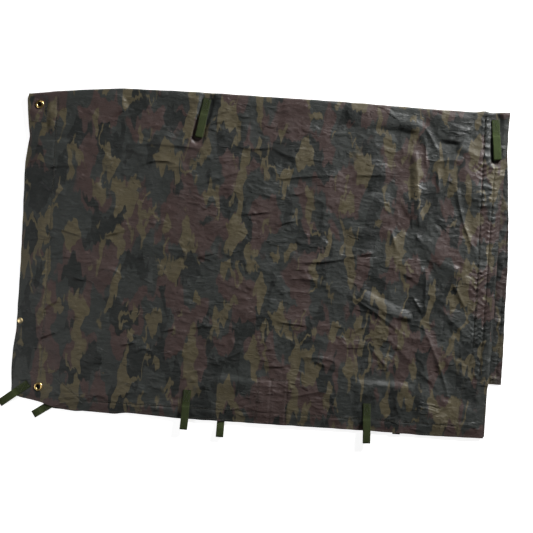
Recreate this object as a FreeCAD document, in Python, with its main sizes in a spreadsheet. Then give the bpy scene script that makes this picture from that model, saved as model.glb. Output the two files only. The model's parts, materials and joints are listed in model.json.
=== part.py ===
"""Frameless layout blind: a camouflage nylon cover folded in half along its ridge.

Millimetres. +X runs along the ridge, +Y towards the ridge and +Z away from the ground. The origin is at
the middle of the lower leaf's underside. The lower leaf lies on the ground. The upper leaf lies over it
and opens about the ridge. Doubled webbing loops are sewn to both leaves, and each loop's free eye swings
on its sewn end.
"""

import os

import FreeCAD, Part
import Sketcher

PARTS_FOLDER = "parts"

# Driving dimensions: alias, value, what it is.
DIMENSIONS = [
    # Leaves
    ("left_edge", -630, "upper leaf's left edge"),
    ("right_edge", 632, "upper leaf's right edge"),
    ("bottom_edge", -426, "upper leaf's bottom edge"),
    ("ridge_edge", 434, "where both panels meet the ridge"),
    ("ridge_depth", 7, "depth of the ridge's turn past the panels"),
    ("ridge_height", 5, "height of the ridge's turn"),
    ("leaf_inset", 3, "how far the lower leaf stops short of the upper one"),
    ("panel_thickness", 1.5, "one crumpled layer of coated nylon"),
    ("hem_thickness", 0.8, "turned hem or sewn patch"),
    ("upper_face", 6, "height of the upper panel's underside"),
    ("corner_round", 28, "radius of the upper leaf's ridge corner"),
    ("corner_rise", 40, "rise of the bottom edge at the left corner"),
    ("corner_run", 130, "length of that rise"),
    # Hems and patches
    ("side_hem", 74, "width of the left hems"),
    ("right_hem", 61, "width of the upper right hem"),
    ("bottom_hem", 29, "width of the bottom hems"),
    ("seam_gap", 0.4, "gap between strips that meet"),
    ("flap_root", 604, "inner edge of the side flap"),
    ("flap_tip_top", 640, "outer edge of the side flap at the ridge"),
    ("flap_tip_bottom", 663, "outer edge of the side flap at its end"),
    ("flap_end", -280, "lower end of the side flap"),
    ("patch_width", 47, "width of the top corner patch"),
    ("patch_length", 105, "length of the top corner patch"),
    ("brace_width", 118, "length of the bottom corner patch's top edge"),
    ("brace_reach", 199, "how far the bottom corner patch runs along the bottom edge"),
    ("brace_height", 82, "height of the bottom corner patch at the left edge"),
    ("centre_patch_left", 20, "left edge of the patch on the bottom hem"),
    ("centre_patch_width", 82, "its width"),
    ("centre_patch_height", 122, "its height"),
    # Webbing
    ("tape_width", 20, "webbing width"),
    ("tape_ply", 1.2, "webbing thickness"),
    ("sewn_gap", 4.5, "bare stretch between a sewn end and its eye's axis"),
    ("axis_lift", 1.5, "height of an eye's axis over the face it is sewn to"),
    ("eye_gap", 5, "open height inside an eye"),
    ("eye_taper", 10, "length over which an eye opens"),
    # Eyelets
    ("eyelet_bore", 5.8, "radius of the hole"),
    ("eyelet_wall", 0.9, "barrel wall"),
    ("eyelet_rim", 11.3, "radius of the flange"),
    ("eyelet_crown", 1.6, "height of the flange's crown"),
    ("eyelet_lip", 2.3, "width of the rolled lip"),
    ("eyelet_lip_thickness", 0.6, "thickness of the rolled lip"),
    ("washer_thickness", 0.8, "thickness of the washer"),
    ("fit_gap", 0.05, "clearance round barrels and posts"),
    # Press stud
    ("cap_radius", 7.5, "radius of the cap"),
    ("cap_height", 2.8, "height of the dome"),
    ("post_radius", 1.9, "radius of both posts"),
    ("socket_radius", 6.3, "radius of the socket and of the stud's base"),
    ("socket_depth", 2, "height of the socket"),
    ("socket_bore", 3.7, "radius of the socket's recess"),
    ("socket_recess", 1.7, "depth of that recess"),
    ("stud_base", 0.6, "thickness of the stud's base"),
    ("stud_radius", 3.2, "radius of the stud's head"),
    ("stud_height", 2.2, "height of the stud over its base's underside"),
    ("post_flange", 0.8, "thickness of the lower post's flange"),
    ("snap_x", -616, "press stud, along the ridge"),
    ("snap_y", -198, "press stud, towards the ridge"),
    ("top_eyelet_x", -604, "top eyelet, along the ridge"),
    ("top_eyelet_y", 376, "top eyelet, towards the ridge"),
    ("bottom_eyelet_x", -556, "bottom eyelet, along the ridge"),
    ("bottom_eyelet_y", -369, "bottom eyelet, towards the ridge"),
]

# Webbing loops: name, leaf, eye's axis at x and y, heading in degrees, eye's length, sewn length.
LOOPS = [
    ("top_middle", "upper", -169, 384, -99, 69, 34),
    ("top_right", "upper", 604, 380, -84, 69, 34),
    ("corner", "upper", -613, -386, -142, 53, 34),
    ("bottom_middle", "upper", -164, -388, -92, 67, 34),
    ("bottom_right", "upper", 315, -391, -87, 67, 34),
    ("lower_left", "lower", -540, -426, -146, 30, 56),
    ("lower_middle", "lower", -69, -431, -91, 38, 62),
]
LOOP_MEASURES = ["x", "y", "heading", "eye", "sewn"]

# The loop that lies flat between the leaves: its middle, its tip and its length.
FLAT_LOOP = [
    ("flat_loop_x", 396, "middle"),
    ("flat_loop_tip", -429, "tip"),
    ("flat_loop_length", 105, "length"),
]

# Every name in the sheet.
ALIASES = [alias for alias, _, _ in DIMENSIONS + FLAT_LOOP]
ALIASES += [f"{loop[0]}_{what}" for loop in LOOPS for what in LOOP_MEASURES]

doc = FreeCAD.newDocument("field_blind")
sheet = doc.addObject("Spreadsheet::Sheet", "dims")


def fill_sheet():
    """Write every driving dimension into the sheet, one row each, with its alias."""
    rows = DIMENSIONS + FLAT_LOOP
    for name, _leaf, *values in LOOPS:
        for what, value in zip(LOOP_MEASURES, values):
            rows = rows + [(f"{name}_{what}", value, "webbing loop")]
    for row, (alias, value, meaning) in enumerate(rows, start=1):
        sheet.set(f"A{row}", meaning)
        sheet.set(f"B{row}", str(value))
        sheet.setAlias(f"B{row}", alias)
    doc.recompute()


def formula(text):
    """Turn words such as 'left_edge + side_hem' into a formula on the sheet."""
    for alias in sorted(ALIASES, key=len, reverse=True):
        text = text.replace(alias, f"@{ALIASES.index(alias)}@")
    for place, alias in enumerate(ALIASES):
        text = text.replace(f"@{place}@", f"dims.{alias}")
    return text


def number(text):
    """The present value of a formula."""
    result = sheet.evalExpression(formula(text))
    return float(getattr(result, "Value", result))


def new_body(label, where, heading="0"):
    """A body whose own origin sits at where, three formulas, turned by heading about +Z."""
    body = doc.addObject("PartDesign::Body", label)
    body.Label = label
    turn = FreeCAD.Rotation(FreeCAD.Vector(0, 0, 1), number(heading))
    body.Placement = FreeCAD.Placement(FreeCAD.Vector(*[number(text) for text in where]), turn)
    for axis, text in zip("xyz", where):
        body.setExpression(f"Placement.Base.{axis}", formula(text))
    if heading != "0":
        body.setExpression("Placement.Rotation.Angle", formula(heading))
    return body


def new_sketch(body, plane_role, name):
    """An empty sketch on one of the body's own origin planes."""
    sketch = body.newObject("Sketcher::SketchObject", name)
    plane = next(feature for feature in body.Origin.OriginFeatures if feature.Role == plane_role)
    sketch.AttachmentSupport = [(plane, "")]
    sketch.MapMode = "FlatFace"
    return sketch


def bind(sketch, kind, geometry, point, text):
    """Bind one coordinate of a sketch point to a formula."""
    index = sketch.addConstraint(Sketcher.Constraint(kind, -1, 1, geometry, point, number(text)))
    sketch.setExpression(f"Constraints[{index}]", formula(text))


def draw_outline(sketch, corners):
    """Draw a closed outline with every corner bound to the sheet.

    A corner is (x, y) for a straight edge to the next corner, or (x, y, axis, centre, bulge) for an arc
    to it: the arc's centre has that coordinate on that axis, and bulge is a point the arc passes near.
    """
    spots = [FreeCAD.Vector(number(corner[0]), number(corner[1]), 0) for corner in corners]
    edges = []
    for index, corner in enumerate(corners):
        start, end = spots[index], spots[(index + 1) % len(spots)]
        if len(corner) == 2:
            edges.append((sketch.addGeometry(Part.LineSegment(start, end)), 1, 2))
            continue
        middle = FreeCAD.Vector(number(corner[4][0]), number(corner[4][1]), 0)
        arc = Part.Arc(start, middle, end)
        edge = sketch.addGeometry(arc)
        first = 1 if sketch.getPoint(edge, 1).distanceToPoint(start) < 1e-4 else 2
        edges.append((edge, first, 3 - first))
    for index, (edge, first, last) in enumerate(edges):
        following, following_first, _ = edges[(index + 1) % len(edges)]
        sketch.addConstraint(Sketcher.Constraint("Coincident", edge, last, following, following_first))
        bind(sketch, "DistanceX", edge, first, corners[index][0])
        bind(sketch, "DistanceY", edge, first, corners[index][1])
        if len(corners[index]) > 2:
            bind(sketch, "Distance" + corners[index][2], edge, 3, corners[index][3])


def draw_circle(sketch, x, y, radius):
    """Draw a circle with its centre and radius bound to the sheet."""
    centre = FreeCAD.Vector(number(x), number(y), 0)
    edge = sketch.addGeometry(Part.Circle(centre, FreeCAD.Vector(0, 0, 1), number(radius)))
    bind(sketch, "DistanceX", edge, 3, x)
    bind(sketch, "DistanceY", edge, 3, y)
    index = sketch.addConstraint(Sketcher.Constraint("Radius", edge, number(radius)))
    sketch.setExpression(f"Constraints[{index}]", formula(radius))


def pad(body, sketch, thickness, both_ways=False):
    """Thicken a sketch by a formula, upwards or evenly to both sides."""
    feature = body.newObject("PartDesign::Pad", "Pad")
    feature.Profile = sketch
    feature.setExpression("Length", formula(thickness))
    feature.Midplane = both_ways
    return feature


def plate(label, base, thickness, corners, holes=()):
    """A flat piece with its underside at base. Each hole is (x, y, radius)."""
    body = new_body(label, ("0", "0", base))
    sketch = new_sketch(body, "XY_Plane", "Outline")
    draw_outline(sketch, corners)
    for hole in holes:
        draw_circle(sketch, *hole)
    pad(body, sketch, thickness)
    return body


def rectangle(left, right, bottom, top):
    """The four corners of an upright rectangle."""
    return [(left, bottom), (right, bottom), (right, top), (left, top)]


def turned(label, where, corners):
    """A round piece: corners are (radius, height), turned about the upright axis through where."""
    body = new_body(label, where)
    sketch = new_sketch(body, "XZ_Plane", "Profile")
    draw_outline(sketch, corners)
    feature = body.newObject("PartDesign::Revolution", "Turn")
    feature.Profile = sketch
    feature.ReferenceAxis = (sketch, ["V_Axis"])
    feature.Angle = 360
    return body


# ---- Heights that several pieces share ----

LOWER_TOP = "panel_thickness"
LOWER_HEM_TOP = "panel_thickness + hem_thickness"
UPPER_TOP = "upper_face + panel_thickness"
PATCH_TOP = "upper_face + panel_thickness + hem_thickness"
HEM_UNDERSIDE = "upper_face - hem_thickness"

POST_HOLE = ("snap_x", "snap_y", "post_radius + fit_gap")


# ---- Lower leaf ----


def make_lower_leaf():
    """The ground leaf: panel, ridge turn, hems and side flap."""
    left = "left_edge + leaf_inset"
    right = "right_edge - leaf_inset"
    bottom = "bottom_edge + leaf_inset"
    body = plate(
        "lower_panel",
        "0",
        "panel_thickness",
        rectangle(left, right, bottom, "ridge_edge"),
        [POST_HOLE],
    )
    recess = new_sketch(body, "XY_Plane", "FlangeRecess")
    draw_circle(recess, "snap_x", "snap_y", "socket_radius + fit_gap")
    doc.recompute()
    full_volume = body.Shape.Volume
    pocket = body.newObject("PartDesign::Pocket", "FlangePocket")
    pocket.Profile = recess
    pocket.Reversed = True
    pocket.setExpression("Length", formula("post_flange"))
    doc.recompute()
    if body.Shape.Volume >= full_volume:
        raise RuntimeError("the flange recess cut nothing")

    plate(
        "ridge_fold",
        "0",
        "ridge_height",
        rectangle(
            "left_edge + corner_round",
            "flap_tip_top",
            "ridge_edge + seam_gap",
            "ridge_edge + ridge_depth",
        ),
    )
    plate(
        "lower_left_hem",
        LOWER_TOP,
        "hem_thickness",
        rectangle(left, "left_edge + leaf_inset + side_hem",
                  "bottom_edge + leaf_inset + bottom_hem + seam_gap", "ridge_edge"),
        [POST_HOLE],
    )
    plate(
        "lower_bottom_hem",
        LOWER_TOP,
        "hem_thickness",
        rectangle(left, right, bottom, "bottom_edge + leaf_inset + bottom_hem"),
    )
    plate(
        "side_flap",
        LOWER_TOP,
        "hem_thickness",
        [
            ("flap_root", "flap_end"),
            ("flap_tip_bottom", "flap_end"),
            ("flap_tip_top", "ridge_edge"),
            ("flap_root", "ridge_edge"),
        ],
    )


# ---- Upper leaf ----


def make_upper_leaf():
    """The cover leaf: panel, hems turned to the inside, corner patches and the patch on the hem."""
    eyelet_hole = "eyelet_bore + eyelet_wall + fit_gap"
    top_hole = ("top_eyelet_x", "top_eyelet_y", eyelet_hole)
    bottom_hole = ("bottom_eyelet_x", "bottom_eyelet_y", eyelet_hole)
    round_x = "left_edge + corner_round"
    round_y = "ridge_edge - corner_round"
    plate(
        "upper_panel",
        "upper_face",
        "panel_thickness",
        [
            ("left_edge", "bottom_edge + corner_rise"),
            ("left_edge + corner_run * 0.14", "bottom_edge + corner_rise * 0.66"),
            ("left_edge + corner_run * 0.63", "bottom_edge + corner_rise * 0.42"),
            ("left_edge + corner_run", "bottom_edge"),
            ("right_edge", "bottom_edge"),
            ("right_edge", "ridge_edge"),
            (round_x, "ridge_edge", "X", round_x,
             ("left_edge + corner_round * 0.293", "ridge_edge - corner_round * 0.293")),
            ("left_edge", round_y),
        ],
        [top_hole, bottom_hole, POST_HOLE],
    )
    plate(
        "upper_left_hem",
        HEM_UNDERSIDE,
        "hem_thickness",
        rectangle("left_edge", "left_edge + side_hem", "bottom_edge + brace_height + seam_gap",
                  "ridge_edge - patch_length - seam_gap"),
        [POST_HOLE],
    )
    plate(
        "upper_right_hem",
        HEM_UNDERSIDE,
        "hem_thickness",
        rectangle("right_edge - right_hem", "right_edge", "bottom_edge", "ridge_edge"),
    )
    plate(
        "upper_bottom_hem",
        HEM_UNDERSIDE,
        "hem_thickness",
        rectangle("left_edge + brace_reach + seam_gap", "right_edge - right_hem - seam_gap", "bottom_edge",
                  "bottom_edge + bottom_hem"),
    )
    plate(
        "corner_patch_top",
        UPPER_TOP,
        "hem_thickness",
        [
            ("left_edge", "ridge_edge - patch_length"),
            ("left_edge + patch_width", "ridge_edge - patch_length"),
            ("left_edge + patch_width", "ridge_edge"),
            (round_x, "ridge_edge", "X", round_x,
             ("left_edge + corner_round * 0.293", "ridge_edge - corner_round * 0.293")),
            ("left_edge", round_y),
        ],
        [top_hole],
    )
    plate(
        "corner_patch_bottom",
        HEM_UNDERSIDE,
        "hem_thickness",
        [
            ("left_edge", "bottom_edge + corner_rise"),
            ("left_edge + corner_run * 0.14", "bottom_edge + corner_rise * 0.66"),
            ("left_edge + corner_run * 0.63", "bottom_edge + corner_rise * 0.42"),
            ("left_edge + corner_run", "bottom_edge"),
            ("left_edge + brace_reach", "bottom_edge"),
            ("left_edge + brace_reach", "bottom_edge + bottom_hem * 0.7"),
            ("left_edge + brace_width", "bottom_edge + brace_height"),
            ("left_edge", "bottom_edge + brace_height"),
        ],
        [bottom_hole],
    )
    plate(
        "centre_patch",
        UPPER_TOP,
        "hem_thickness",
        rectangle("centre_patch_left", "centre_patch_left + centre_patch_width", "bottom_edge",
                  "bottom_edge + centre_patch_height"),
    )


# ---- Eyelets and press stud ----


def make_eyelet(label, x, y, face):
    """A brass eyelet set from the face, with its washer on the far side of two layers."""
    stack = "panel_thickness + hem_thickness"
    lip_top = f"-({stack}) - washer_thickness"
    barrel = "eyelet_bore + eyelet_wall"
    turned(
        label,
        (x, y, face),
        [
            ("eyelet_bore", f"{lip_top} - eyelet_lip_thickness"),
            (f"{barrel} + eyelet_lip", f"{lip_top} - eyelet_lip_thickness"),
            (f"{barrel} + eyelet_lip", lip_top),
            (barrel, lip_top),
            (barrel, "0"),
            ("eyelet_rim", "0"),
            ("eyelet_rim", "0.3", "X", "eyelet_bore + 2.6", ("eyelet_bore + 2.6", "eyelet_crown")),
            ("eyelet_bore", "0.9"),
        ],
    )
    turned(
        f"{label}_washer",
        (x, y, face),
        rectangle(f"{barrel} + fit_gap", "eyelet_rim - 0.5", f"-({stack}) - washer_thickness",
                  f"-({stack})"),
    )


def make_press_stud():
    """The four pieces of the press stud: cap and socket on the upper leaf, stud and post on the lower."""
    upper_stack = "panel_thickness + hem_thickness"
    turned(
        "snap_cap",
        ("snap_x", "snap_y", UPPER_TOP),
        [
            ("0", f"-({upper_stack}) - socket_depth + socket_recess"),
            ("post_radius", f"-({upper_stack}) - socket_depth + socket_recess"),
            ("post_radius", "0"),
            ("cap_radius", "0"),
            ("cap_radius", "0.8", "X", "0", ("cap_radius * 0.6", "cap_height * 0.85")),
            ("0", "cap_height"),
        ],
    )
    turned(
        "snap_socket",
        ("snap_x", "snap_y", HEM_UNDERSIDE),
        [
            ("socket_bore", "-socket_depth"),
            ("socket_radius", "-socket_depth"),
            ("socket_radius", "0"),
            ("post_radius + fit_gap", "0"),
            ("post_radius + fit_gap", "socket_recess - socket_depth"),
            ("socket_bore", "socket_recess - socket_depth"),
        ],
    )
    turned(
        "snap_stud",
        ("snap_x", "snap_y", LOWER_HEM_TOP),
        [
            ("0", "0"),
            ("socket_radius", "0"),
            ("socket_radius", "stud_base"),
            ("stud_radius - 0.5", "stud_base"),
            ("stud_radius", "stud_height - 0.7"),
            ("stud_radius - 0.6", "stud_height"),
            ("0", "stud_height"),
        ],
    )
    turned(
        "snap_post",
        ("snap_x", "snap_y", "0"),
        [
            ("0", "0"),
            ("socket_radius", "0"),
            ("socket_radius", "post_flange"),
            ("post_radius", "post_flange"),
            ("post_radius", LOWER_HEM_TOP),
            ("0", LOWER_HEM_TOP),
        ],
    )


# ---- Webbing loops ----


def make_sewn_end(name, face):
    """The sewn, doubled end of a loop, lying on the face behind the eye's axis."""
    body = new_body(f"loop_base_{name}", (f"{name}_x", f"{name}_y", face), f"{name}_heading")
    sketch = new_sketch(body, "XY_Plane", "Outline")
    draw_outline(
        sketch,
        rectangle(f"-sewn_gap - {name}_sewn", "-sewn_gap", "-tape_width / 2", "tape_width / 2"),
    )
    pad(body, sketch, "tape_ply * 2")


def make_eye(name, face):
    """The free eye of a loop: one tape that leaves the axis flat, turns at the tip and comes back."""
    axis = f"{face} + axis_lift"
    body = new_body(f"loop_eye_{name}", (f"{name}_x", f"{name}_y", axis), f"{name}_heading")
    sketch = new_sketch(body, "XZ_Plane", "Edge")
    bend = f"{name}_eye - eye_gap / 2 - tape_ply"
    middle = "eye_gap / 2"
    draw_outline(
        sketch,
        [
            ("0", "tape_ply", "X", "0", ("-tape_ply", "0")),
            ("0", "-tape_ply"),
            (bend, "-tape_ply", "X", bend, (f"{name}_eye", middle)),
            (bend, "eye_gap + tape_ply"),
            ("eye_taper", "eye_gap + tape_ply"),
        ],
    )
    draw_outline(
        sketch,
        [
            ("tape_ply * 2.4", "0"),
            (bend, "0", "X", bend, (f"{name}_eye - tape_ply", middle)),
            (bend, "eye_gap"),
            ("eye_taper + tape_ply * 0.6", "eye_gap"),
        ],
    )
    pad(body, sketch, "tape_width", both_ways=True)


def make_flat_loop():
    """The loop that lies flat between the leaves, with its two plies closed on each other."""
    plate(
        "loop_lower_right",
        LOWER_HEM_TOP,
        "tape_ply * 2",
        rectangle("flat_loop_x - tape_width / 2", "flat_loop_x + tape_width / 2", "flat_loop_tip",
                  "flat_loop_tip + flat_loop_length"),
    )


def check_document():
    """Stop if any object of the document failed or has no valid shape."""
    for item in doc.Objects:
        if {"Invalid", "Error"} & set(item.State):
            raise RuntimeError(f"{item.Label} is {item.State}")
        if item.TypeId == "PartDesign::Body" and (item.Shape.isNull() or not item.Shape.isValid()):
            raise RuntimeError(f"{item.Label} has no valid shape")


def export_parts():
    """Write each sub-part to a STEP file named after it."""
    os.makedirs(PARTS_FOLDER, exist_ok=True)
    for item in doc.Objects:
        if item.TypeId == "PartDesign::Body":
            item.Shape.exportStep(f"{PARTS_FOLDER}/{item.Label}.step")
            print(f"{item.Label}: {item.Shape.Volume:.0f} mm3, {len(item.Shape.Solids)} solid")


fill_sheet()
make_lower_leaf()
make_upper_leaf()
make_eyelet("eyelet_top", "top_eyelet_x", "top_eyelet_y", PATCH_TOP)
make_eyelet("eyelet_bottom", "bottom_eyelet_x", "bottom_eyelet_y", UPPER_TOP)
make_press_stud()
for loop_name, leaf, *_ in LOOPS:
    sewn_face = UPPER_TOP if leaf == "upper" else LOWER_HEM_TOP
    make_sewn_end(loop_name, sewn_face)
    make_eye(loop_name, sewn_face)
make_flat_loop()
doc.recompute()
check_document()
export_parts()
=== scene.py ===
import json
import math

import bpy
import numpy as np
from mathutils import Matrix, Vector, geometry
from mathutils.bvhtree import BVHTree

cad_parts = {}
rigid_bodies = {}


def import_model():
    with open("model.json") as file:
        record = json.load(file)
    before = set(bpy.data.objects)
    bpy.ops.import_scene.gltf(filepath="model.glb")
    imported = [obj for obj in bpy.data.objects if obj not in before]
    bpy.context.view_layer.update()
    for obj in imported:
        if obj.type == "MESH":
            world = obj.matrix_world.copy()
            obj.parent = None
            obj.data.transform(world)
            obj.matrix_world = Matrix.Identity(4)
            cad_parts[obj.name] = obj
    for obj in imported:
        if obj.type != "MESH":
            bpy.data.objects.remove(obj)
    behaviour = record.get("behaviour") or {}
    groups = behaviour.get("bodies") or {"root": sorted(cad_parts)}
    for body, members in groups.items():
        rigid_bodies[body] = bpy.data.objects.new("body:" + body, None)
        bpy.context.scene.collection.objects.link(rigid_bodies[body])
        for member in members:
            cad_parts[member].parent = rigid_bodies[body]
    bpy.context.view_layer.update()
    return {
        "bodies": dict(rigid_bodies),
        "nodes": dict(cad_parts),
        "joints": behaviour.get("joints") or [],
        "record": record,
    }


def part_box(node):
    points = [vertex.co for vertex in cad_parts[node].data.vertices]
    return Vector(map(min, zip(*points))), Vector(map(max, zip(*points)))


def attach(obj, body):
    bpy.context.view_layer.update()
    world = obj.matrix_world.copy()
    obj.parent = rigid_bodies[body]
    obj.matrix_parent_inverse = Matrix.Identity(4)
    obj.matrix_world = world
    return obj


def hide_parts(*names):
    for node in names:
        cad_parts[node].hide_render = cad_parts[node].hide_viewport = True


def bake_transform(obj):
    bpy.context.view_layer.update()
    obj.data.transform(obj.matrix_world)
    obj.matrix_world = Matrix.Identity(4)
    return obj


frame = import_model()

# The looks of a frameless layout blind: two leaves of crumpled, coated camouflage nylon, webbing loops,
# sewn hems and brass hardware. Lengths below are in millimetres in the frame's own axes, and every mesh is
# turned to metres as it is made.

MM = 0.001

# ---- Places taken from the frame ----


def node_box(node):
    """A CAD node's lowest and highest corners in millimetres."""
    low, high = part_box(node)
    return np.array(low) / MM, np.array(high) / MM


LOWER_LOW, LOWER_HIGH = node_box("lower_panel")
UPPER_LOW, UPPER_HIGH = node_box("upper_panel")
RIDGE_LOW, RIDGE_HIGH = node_box("ridge_fold")
FACE = UPPER_HIGH[2]                  # outer face of the upper leaf where hardware sits on it
CLOTH = 0.6                           # thickness shown for one layer of nylon

JOINTS = {joint["child"]: joint for joint in frame["joints"]}
BODY_OF = {node: body for body, nodes in frame["record"]["behaviour"]["bodies"].items() for node in nodes}


def middle_of(node):
    """The middle of a CAD node in plan."""
    low, high = node_box(node)
    return (low[:2] + high[:2]) / 2


TOP_EYELET = middle_of("eyelet_top")
BOTTOM_EYELET = middle_of("eyelet_bottom")
SNAP = middle_of("snap_cap")

# ---- Webbing loops: where each one's axis is and which way its eye points ----

TAPE_WIDTH = 20.0
TAPE_PLY = 1.2
SEWN_GAP = 4.5


class Loop:
    """One webbing loop, read from its joint and its two CAD nodes."""

    def __init__(self, name):
        joint = JOINTS[f"eye_{name}"]
        self.name = name
        self.parent = joint["parent"]
        self.body = joint["child"]
        self.axis = np.array(joint["pos_m"]) / MM
        across = joint["axis"]
        self.heading = np.array([-across[1], across[0]])
        self.side = np.array([-self.heading[1], self.heading[0]])
        self.nodes = [f"loop_base_{name}", f"loop_eye_{name}"]
        self.tip = self.reach(self.nodes[1], +1)
        self.start = -self.reach(self.nodes[0], -1)
        self.face = node_box(self.nodes[0])[0][2]

    def reach(self, node, sign):
        """How far a node extends along the heading, measured from the axis."""
        points = np.array([v.co[:2] for v in frame["nodes"][node].data.vertices]) / MM
        return float(((points - self.axis[:2]) @ self.heading * sign).max())

    def plan(self, along, across=0.0):
        """A point in plan from its place along and across the tape."""
        return self.axis[:2] + self.heading * along + self.side * across


LOOPS = [Loop(body[len("eye_"):]) for body in frame["bodies"] if body.startswith("eye_")]
UPPER_LOOPS = [loop for loop in LOOPS if loop.parent == "upper_leaf"]
LOWER_LOOPS = [loop for loop in LOOPS if loop.parent == "lower_leaf"]

# ---- Smooth noise, facets and folds ----


def smooth(low, high, value):
    """0 below low, 1 above high and a smooth step between."""
    t = np.clip((value - low) / (high - low), 0, 1)
    return t * t * (3 - 2 * t)


def noise(x, y, seed):
    """Gradient noise, about -1 to 1, with one cell per unit."""
    angles = np.random.default_rng(seed).uniform(0, 2 * math.pi, (128, 128))
    column, row = np.floor(x).astype(int), np.floor(y).astype(int)
    fx, fy = x - column, y - row
    total = 0
    for dx in (0, 1):
        for dy in (0, 1):
            angle = angles[(column + dx) % 128, (row + dy) % 128]
            slope = np.cos(angle) * (fx - dx) + np.sin(angle) * (fy - dy)
            weight_x = smooth(0, 1, fx) if dx else 1 - smooth(0, 1, fx)
            weight_y = smooth(0, 1, fy) if dy else 1 - smooth(0, 1, fy)
            total = total + slope * weight_x * weight_y
    return total * 1.5


def wrinkles(x, y, seed, sharp=2.2):
    """Thin ridges, 0 to 1, that follow the zero lines of a noise."""
    return np.clip(1 - sharp * np.abs(noise(x, y, seed)), 0, 1) ** 1.5


def facets(x, y, spacing, stretch, seed):
    """A net of random triangles with random heights, as a crumpled sheet keeps them."""
    rng = np.random.default_rng(seed)
    step_x, step_y = spacing * stretch, spacing / stretch
    points = [
        Vector((px + rng.uniform(-0.42, 0.42) * step_x, py + rng.uniform(-0.42, 0.42) * step_y))
        for px in np.arange(-760, 760, step_x)
        for py in np.arange(-560, 560, step_y)
    ]
    corners, _, faces, *_ = geometry.delaunay_2d_cdt(points, [], [], 0, 1e-6)
    heights = rng.normal(0, 1, len(corners))
    net = BVHTree.FromPolygons([(c.x, c.y, h) for c, h in zip(corners, heights)], faces)
    down = Vector((0, 0, -1))
    found = [net.ray_cast(Vector((px, py, 20)), down)[0] for px, py in zip(x.ravel(), y.ravel())]
    return np.array([hit.z if hit else 0.0 for hit in found]).reshape(x.shape)


def route_distance(x, y, route):
    """Distance to a route of straight runs, the share of it passed, and 1 on its left or -1 on its right."""
    best = np.full(x.shape, 1e9)
    share, side = np.zeros(x.shape), np.ones(x.shape)
    runs = list(zip(route[:-1], route[1:]))
    lengths = [math.dist(a, b) for a, b in runs]
    passed = 0.0
    for (a, b), length in zip(runs, lengths):
        run_x, run_y = b[0] - a[0], b[1] - a[1]
        t = np.clip(((x - a[0]) * run_x + (y - a[1]) * run_y) / length ** 2, 0, 1)
        away = np.hypot(x - a[0] - t * run_x, y - a[1] - t * run_y)
        nearer = away < best
        share = np.where(nearer, (passed + t * length) / sum(lengths), share)
        left = np.sign(run_x * (y - a[1]) - run_y * (x - a[0]))
        side = np.where(nearer, left, side)
        best = np.where(nearer, away, best)
        passed += length
    return best, share, side


def distance(x, y, route):
    """Distance to a route of straight runs."""
    return route_distance(x, y, route)[0]


def side_of(point, route):
    """1 where a point is on a route's left, or -1."""
    return route_distance(np.array(point[:1]), np.array(point[1:]), route)[2][0]


class Relief:
    """Heights on a regular grid, built up fold by fold and read back between the grid's points."""

    def __init__(self, left, right, bottom, top, step):
        self.corner, self.step = np.array([left, bottom], float), step
        self.x, self.y = np.meshgrid(np.arange(left, right, step), np.arange(bottom, top, step))
        self.z = np.zeros_like(self.x)

    def window(self, points, margin):
        """The part of the grid that lies within a margin of some points."""
        first = np.maximum(((points.min(axis=0) - margin - self.corner) / self.step).astype(int), 0)
        last = np.maximum(((points.max(axis=0) + margin - self.corner) / self.step).astype(int) + 1, 0)
        return slice(first[1], last[1]), slice(first[0], last[0])

    def fold(self, route, height, left_reach, right_reach):
        """Add a crease that is height high along a route and falls away over a reach on each side."""
        route = np.asarray(route, float)
        window = self.window(route, 4.5 * max(left_reach, right_reach))
        away, share, side = route_distance(self.x[window], self.y[window], route)
        fade = np.sin(np.pi * np.clip(share, 0.015, 0.985)) ** 0.6
        self.z[window] += height * fade * np.exp(-away / np.where(side > 0, left_reach, right_reach))

    def plate(self, ridge, valley, height, back_reach):
        """Add a flat facet that climbs from a valley to a ridge and falls away behind the ridge."""
        ridge, valley = np.asarray(ridge, float), np.asarray(valley, float)
        window = self.window(np.concatenate([ridge, valley]), 4.5 * back_reach)
        x, y = self.x[window], self.y[window]
        from_ridge, share, ridge_side = route_distance(x, y, ridge)
        from_valley, _, valley_side = route_distance(x, y, valley)
        behind = ridge_side != side_of(valley.mean(axis=0), ridge)
        beyond = valley_side != side_of(ridge.mean(axis=0), valley)
        climb = np.where(beyond, 0, from_valley / (from_ridge + from_valley + 1e-6))
        shape = np.where(behind, np.exp(-from_ridge / back_reach), climb)
        self.z[window] += height * smooth(0, 0.12, share) * (1 - smooth(0.88, 1, share)) * shape

    def __call__(self, x, y):
        x, y = np.asarray(x, float), np.asarray(y, float)
        column = np.clip((x - self.corner[0]) / self.step, 0, self.z.shape[1] - 1.001)
        row = np.clip((y - self.corner[1]) / self.step, 0, self.z.shape[0] - 1.001)
        i, j = column.astype(int), row.astype(int)
        fx, fy = column - i, row - j
        low = self.z[j, i] * (1 - fx) + self.z[j, i + 1] * fx
        high = self.z[j + 1, i] * (1 - fx) + self.z[j + 1, i + 1] * fx
        return low * (1 - fy) + high * fy


# ---- The outlines of the two leaves ----

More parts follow.
